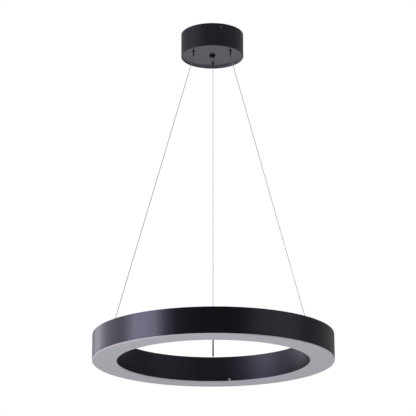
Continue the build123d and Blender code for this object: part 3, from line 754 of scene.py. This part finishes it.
def gland_flange_mesh(sheet):
    """Drawn below a sheet of that thickness: collar, six-sided flange and thread."""
    mesh = turned([(3.2, -4.0), (5.5, -4.0), (5.5, -2.0), (7.6, -2.0), (8.3, -1.7), (8.3, 0.0)]
                  + thread(5.0, 4.6, 0.3, int(sheet) + 7)
                  + [(5.0, sheet + 8.0), (3.2, sheet + 8.0)], 48, reach=0.8)
    return flats(mesh, gland_flat)


def gland_nut_mesh(sheet):
    return flats(turned(chamfered(5.05, 8.3, sheet, sheet + 3.0, 0.7), 48, reach=0.8), gland_flat)


def add_gland(name, place, sheet, body, node):
    for piece, mesh, end in (("cap", gland_cap_mesh(), "cap"),
                             ("flange", gland_flange_mesh(sheet), "body"),
                             ("nut", gland_nut_mesh(sheet), "locknut")):
        as_object(f"{name}_{piece}", moved(mesh, place), "black_nylon", body, f"{node}_{end}")


gland_flat = 7.25
add_gland("canopy_gland", Matrix.Translation(spot(0, 0, plate_low)), plate_t, "canopy",
          "cord_gland")
inlet_turn = anchor_turns["rear"] + 4.5
inlet_place = (Matrix.Translation(spot(anchor_r, inlet_turn, ring_top))
               @ Matrix.Rotation(pi, 4, "X"))
add_gland("inlet", inlet_place, wall, "ring", "inlet_gland")

# %% [markdown]
# ### Wire anchors on the ring
#
# The wire's ball lies in a cup in the stud, and a six-sided cap screwed over it holds it down. The
# wire comes out of the cap's mouth, which flares so that the wire can lean.

# %% Anchors
def anchor_stud_mesh():
    mesh = turned([(0.0, 0.5), (0.0, -10.0), (2.7, -10.0)] + thread(3.0, 2.6, -9.4, 9)
                  + [(3.0, 0.0), (6.2, 0.0), (6.9, 0.4), (6.9, 1.5), (3.9, 1.5), (3.9, 3.0),
                     (2.6, 3.0), (2.6, 0.5)], 48, reach=0.5)
    return flats(mesh, 6.0)


def anchor_cap_mesh():
    mesh = turned([(1.85, 4.55), (2.7, 5.3), (5.7, 5.3), (6.6, 4.9), (6.9, 4.4), (6.9, 2.0),
                   (6.3, 1.55), (4.1, 1.55), (4.1, 4.5)], 48, reach=0.5)
    return flats(mesh, 6.0)


for name, turn in anchor_turns.items():
    place = Matrix.Translation(spot(anchor_r, turn, ring_top))
    as_object(f"anchor_stud_{name}", moved(anchor_stud_mesh(), place), "black_brass", "ring",
              "anchor_studs")
    as_object(f"anchor_cap_{name}", moved(anchor_cap_mesh(), place), "black_brass", "ring",
              "anchor_caps")

# %% [markdown]
# ### Screws
#
# A screw's head starts as a square grid. The cells of the cross are pushed down for the driver,
# and the square is mapped to a disc, which leaves the cross in the middle almost as it was. The
# grid then gets a dome, a skirt round its rim, and a threaded shank.

# %% Cross-head screws
def head_mesh(radius, height, deep):
    """A domed head with a cross recess, its underside at the origin."""
    mesh = bmesh.new()
    bmesh.ops.create_grid(mesh, x_segments=14, y_segments=14, size=1.0)
    cross = []
    for face in mesh.faces:
        across, along = sorted(abs(c) for c in face.calc_center_median().xy)
        if across < 0.15 and along < 0.58:
            cross.append(face)
    made = bmesh.ops.extrude_face_region(mesh, geom=cross)["geom"]
    sunk = {v for v in made if isinstance(v, bmesh.types.BMVert)}
    bmesh.ops.delete(mesh, geom=[f for f in cross if f.is_valid], context="FACES_ONLY")
    for vert in mesh.verts:
        x, y = vert.co.xy
        disc = Vector((x * (1 - y * y / 2) ** 0.5, y * (1 - x * x / 2) ** 0.5))
        dome = height * (1.0 - 0.55 * disc.length ** 3)
        vert.co = (disc.x * radius * MM, disc.y * radius * MM,
                   (dome - (deep if vert in sunk else 0.0)) * MM)
    edge = [e for e in mesh.edges if e.is_boundary]
    skirt = bmesh.ops.extrude_edge_only(mesh, edges=edge)["geom"]
    for vert in (v for v in skirt if isinstance(v, bmesh.types.BMVert)):
        vert.co.z = 0.0
    bmesh.ops.holes_fill(mesh, edges=[e for e in mesh.edges if e.is_boundary], sides=0)
    bmesh.ops.recalc_face_normals(mesh, faces=mesh.faces)
    smooth(mesh, radians(40))
    return mesh


def shank_mesh(radius, length):
    pitch = 0.7
    threads = thread(radius, radius * 0.84, -pitch / 2, int(length / pitch), -pitch)
    return turned([(0.0, 0.0), (radius, 0.0)] + threads + [(0.0, -length)], 20, reach=0.4)


def add_screws(name, places, sizes, slot, body, node):
    radius, height, shank, length = sizes
    for number, (point, outwards, twist) in enumerate(places, 1):
        place = facing(point, outwards) @ Matrix.Rotation(radians(twist), 4, "Z")
        screw = joined(head_mesh(radius, height, height * 0.55), shank_mesh(shank, length))
        as_object(f"{name}_{number}", moved(screw, place), slot, body, node)


def radial(turn):
    return Vector((cos(radians(turn)), sin(radians(turn)), 0.0))


bracket_turn, fit = 106.5, 0.05
add_screws("side_screw", [(spot(cup_out + fit, t, -9.8), radial(t), twist)
                          for t, twist in ((bracket_turn, 20), (bracket_turn + 180, 65))],
           (3.4, 1.95, 2.0, 5.9), "black_screws", "canopy", "canopy_side_screws")
add_screws("cover_screw", [(spot(ring_in - fit, t, ring_low + 3.5), -radial(t), twist)
                           for t, twist in ((80.0, 15), (200.0, 50), (320.0, 80))],
           (2.7, 1.35, 1.5, 4.7), "steel", "ring", "diffuser_screws")

# %% [markdown]
# ## Floor
#
# A plain pale floor lies well below the light, as in a room with a normal ceiling. From
# underneath it is clear, so that the light can be looked at from straight below as well.

# %% Floor
def pale_floor():
    """Pale to the eye, nearly white where something mirrors it, clear from underneath."""
    floor = finish_named("floor")
    ray = floor.node("ShaderNodeLightPath")
    plain = floor.node("ShaderNodeBsdfDiffuse", {}, {"Color": grey(0.62)})
    white = floor.node("ShaderNodeEmission", {}, {"Color": grey(1.0), "Strength": 1.2})
    seen = ray["Is Glossy Ray"] + ray["Is Transmission Ray"]
    both = floor.node("ShaderNodeMixShader", {}, {0: seen * 0.8, 1: plain["BSDF"],
                                                  2: white["Emission"]})
    under = floor.node("ShaderNodeNewGeometry")["Backfacing"]
    clear = floor.node("ShaderNodeBsdfTransparent")
    top = floor.node("ShaderNodeMixShader", {}, {0: under, 1: both["Shader"], 2: clear["BSDF"]})
    floor.node("ShaderNodeOutputMaterial", {}, {"Surface": top["Shader"]})
    return floor.owner


mesh = bmesh.new()
bmesh.ops.create_grid(mesh, x_segments=1, y_segments=1, size=6.0)
bmesh.ops.translate(mesh, verts=mesh.verts, vec=(0.0, 0.0, -2.5))
data = bpy.data.meshes.new("floor")
mesh.to_mesh(data)
mesh.free()
data.materials.append(pale_floor())
ground = bpy.data.objects.new("floor", data)
bpy.context.scene.collection.objects.link(ground)

# %% Finish
bpy.context.scene.view_settings.view_transform = "Standard"
